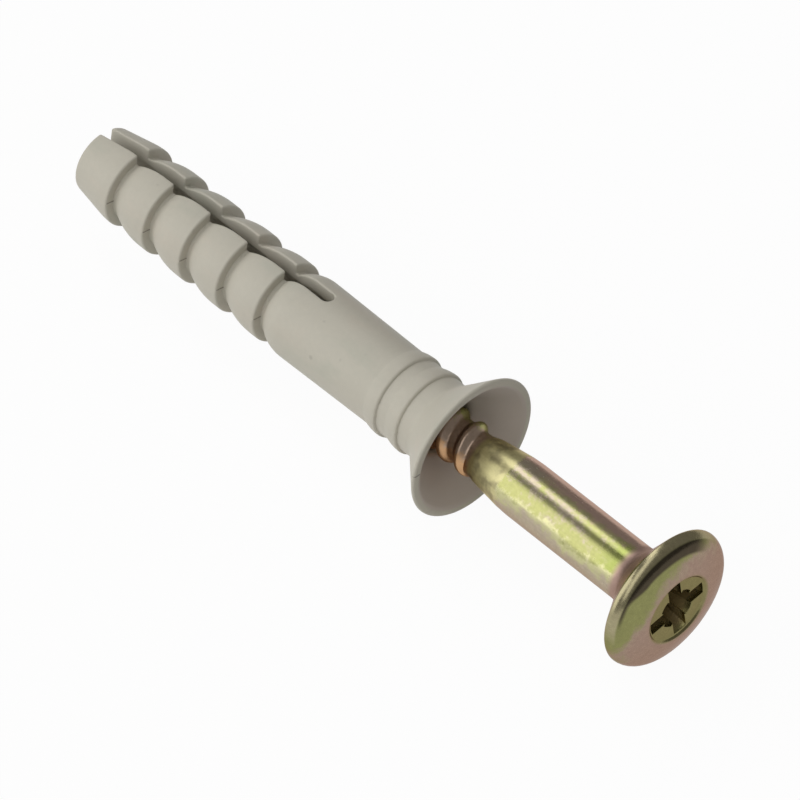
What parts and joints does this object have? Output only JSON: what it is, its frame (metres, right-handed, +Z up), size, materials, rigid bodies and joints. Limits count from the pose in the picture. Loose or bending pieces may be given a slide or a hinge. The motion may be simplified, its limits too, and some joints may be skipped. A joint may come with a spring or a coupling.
{
  "type": "hammer fixing plug",
  "caption": "Hammer fixing plug: grey plastic sleeve with barbs, slots and a countersunk collar, and a yellow zinc nail screw part way in.",
  "frame": {"origin": "on the bench, under the middle of the part's length", "axes": "+X along the plug from its nose to the head of the nail, +Z up from the bench"},
  "size_m": [0.0532, 0.01, 0.0101],
  "materials": {
    "grey_plastic": "moulded, dull, slightly mottled",
    "yellow_zinc": "zinc plated and yellow passivated, bright, with green and mauve tints"
  },
  "bodies": {
    "sleeve": {"plug_sleeve": "grey_plastic"},
    "nail": {"drive_nail": "yellow_zinc"}
  },
  "joints": [
    {"name": "nail_drive", "type": "slide", "parent": "sleeve", "child": "nail", "axis": [-1, 0, 0], "range_m": [0, 0.01649]}
  ]
}
